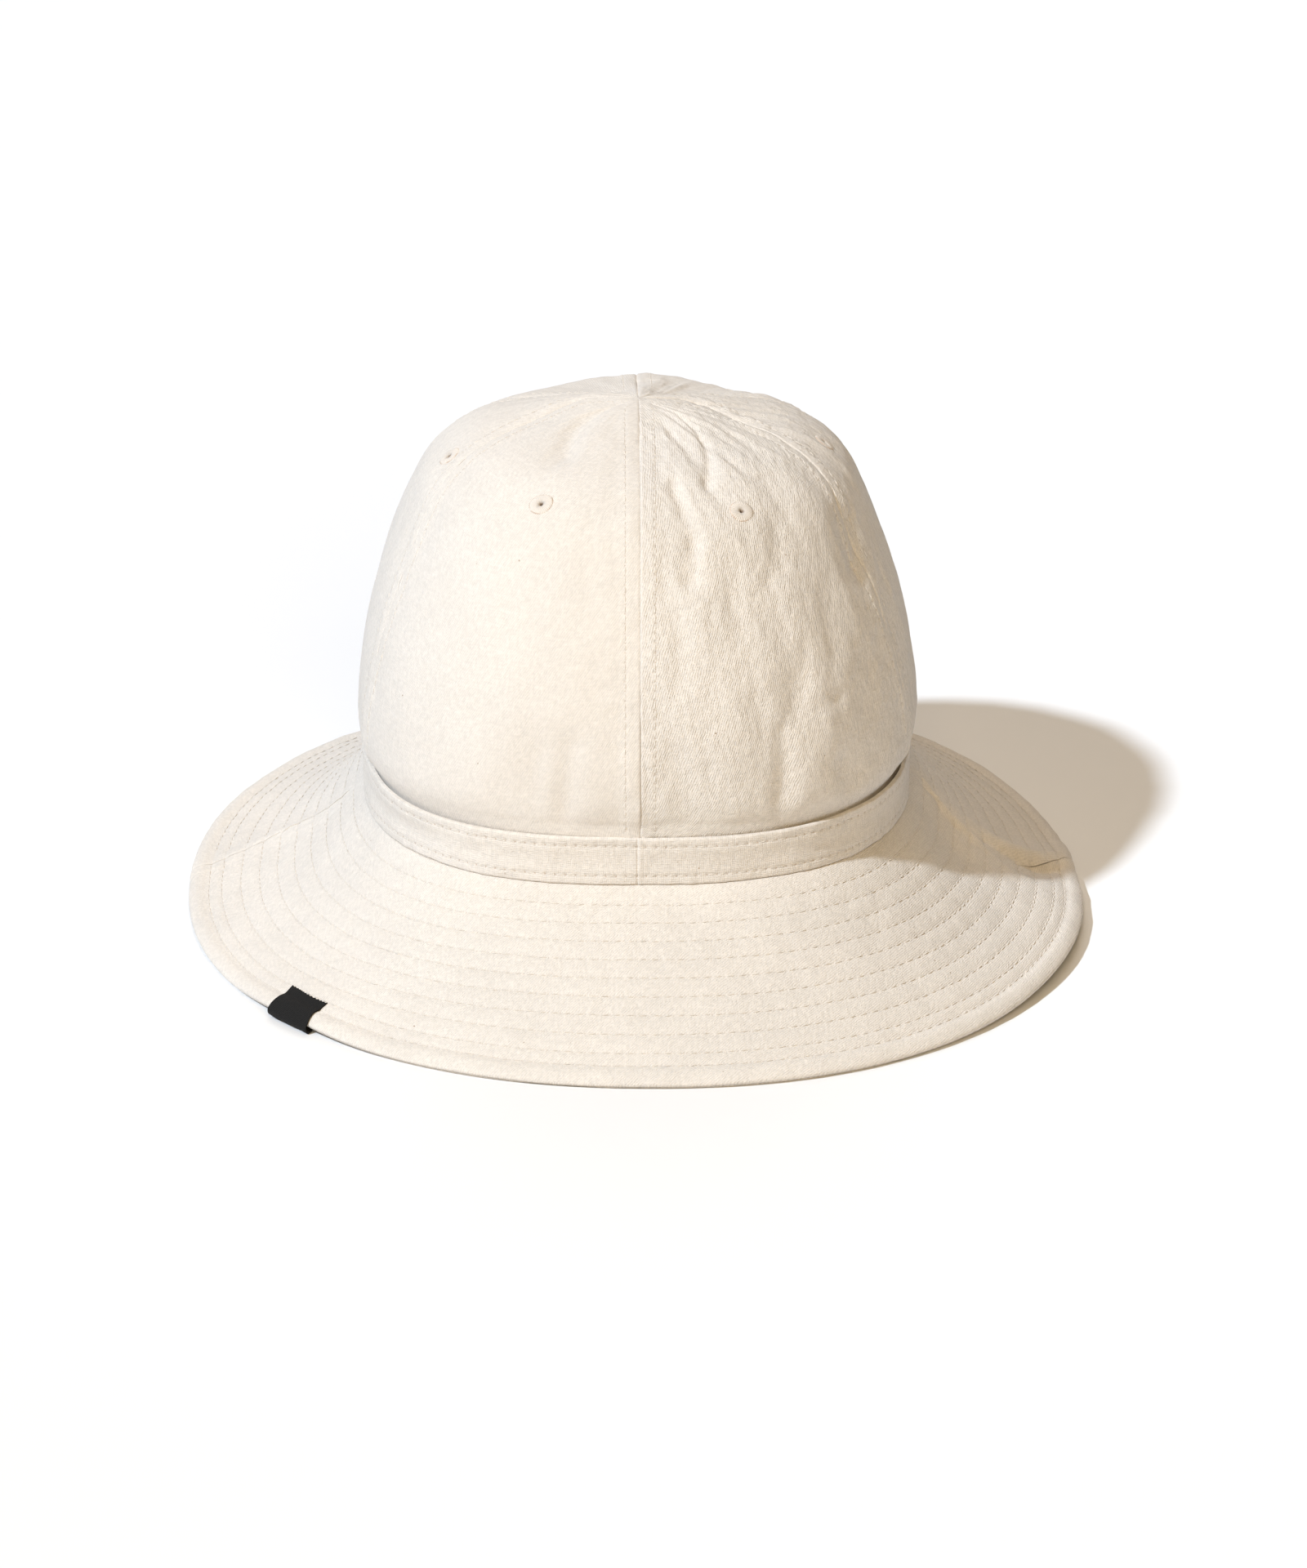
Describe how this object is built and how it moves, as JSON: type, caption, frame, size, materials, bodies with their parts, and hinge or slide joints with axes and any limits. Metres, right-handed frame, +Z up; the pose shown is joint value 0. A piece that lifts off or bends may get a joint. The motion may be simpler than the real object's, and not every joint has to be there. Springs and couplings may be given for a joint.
{
  "type": "cotton field hat with a downturned brim",
  "caption": "Plain ecru cotton field hat with a deep panelled crown, worked eyelets, a narrow band and a wide row-stitched brim with a bare black tab",
  "frame": {"origin": "the middle of the brim's bounds in plan, at the ground the brim stands on", "axes": "+Z is up out of the crown's top, -Y is the hat's front, where the band closes, and +X is to the right for someone who looks at the front"},
  "size_m": [0.2972, 0.3144, 0.1699],
  "materials": {
    "crown_cotton": "undyed cotton twill with small brown flecks, matt",
    "band_cotton": "undyed plain-woven cotton, matt, with a stitch row along each edge",
    "brim_cotton": "undyed cotton twill with rows of stitching round the brim, matt",
    "brim_under_cotton": "undyed cotton twill under the brim, matt",
    "eyelet_thread": "worked cotton thread with a slight sheen",
    "label_tape": "black woven tape, matt and bare"
  },
  "bodies": {
    "root": {"crown_panel_front_right": "crown_cotton", "crown_panel_side_right": "crown_cotton", "crown_panel_back_right": "crown_cotton", "crown_panel_back_left": "crown_cotton", "crown_panel_side_left": "crown_cotton", "crown_panel_front_left": "crown_cotton", "eyelet_front_right": "eyelet_thread", "eyelet_side_right": "eyelet_thread", "eyelet_back_right": "eyelet_thread", "eyelet_back_left": "eyelet_thread", "eyelet_side_left": "eyelet_thread", "eyelet_front_left": "eyelet_thread", "band": "band_cotton", "brim_top_front": "brim_cotton", "brim_top_back": "brim_cotton", "brim_under_front": "brim_under_cotton", "brim_under_back": "brim_under_cotton", "brim_label": "label_tape"}
  },
  "joints": []
}
